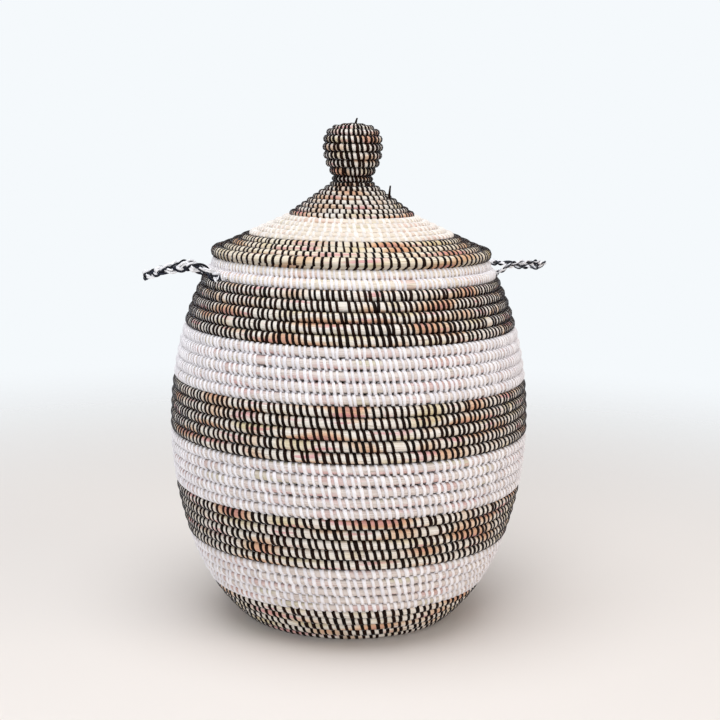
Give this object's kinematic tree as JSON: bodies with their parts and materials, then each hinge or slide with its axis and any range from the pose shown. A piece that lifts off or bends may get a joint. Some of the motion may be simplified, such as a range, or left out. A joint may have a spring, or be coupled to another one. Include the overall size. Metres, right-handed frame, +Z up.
{
  "type": "lidded storage basket",
  "caption": "Egg-shaped coiled grass basket bound with black and white plastic strip, with a lift-off cone lid, a coiled knob and two braided loop handles.",
  "frame": {"origin": "on the floor under the middle of the basket, on the axis of its coil", "axes": "+Z up along the basket's axis; +X towards the right handle, seen from the front; -Y towards the front, and the coil's seam is at the back, +Y"},
  "size_m": [0.3983, 0.3378, 0.466],
  "materials": {
    "black_bound_coil": "satin",
    "white_bound_coil": "satin",
    "grass_coil": "matte",
    "braided_strip": "satin"
  },
  "bodies": {
    "basket": {"base_coil": "white_bound_coil", "wall_black_1": "black_bound_coil", "wall_white_1": "white_bound_coil", "wall_black_2": "black_bound_coil", "wall_white_2": "white_bound_coil", "wall_black_3": "black_bound_coil", "wall_white_3": "white_bound_coil", "wall_black_4": "black_bound_coil", "rim_white": "white_bound_coil", "handle_left_root_front": "braided_strip", "handle_left_root_back": "braided_strip", "handle_right_root_front": "braided_strip", "handle_right_root_back": "braided_strip"},
    "lid": {"lid_knob": "black_bound_coil", "lid_cone_black": "black_bound_coil", "lid_band_white": "white_bound_coil", "lid_band_black": "black_bound_coil", "lid_edge_coil": "black_bound_coil", "lid_locating_ring": "grass_coil"},
    "handle_left": {"handle_left_loop": "braided_strip"},
    "handle_right": {"handle_right_loop": "braided_strip"}
  },
  "joints": [
    {"name": "lid_lift", "type": "slide", "parent": "basket", "child": "lid", "axis": [0, 0, 1], "range_m": [0, 0.25]},
    {"name": "handle_left_swing", "type": "hinge", "parent": "basket", "child": "handle_left", "pos_m": [-0.13994, 0, 0.3303], "axis": [0, 1, 0], "range_deg": [-55, 70]},
    {"name": "handle_right_swing", "type": "hinge", "parent": "basket", "child": "handle_right", "pos_m": [0.13994, 0, 0.3303], "axis": [0, -1, 0], "range_deg": [-55, 70]}
  ]
}
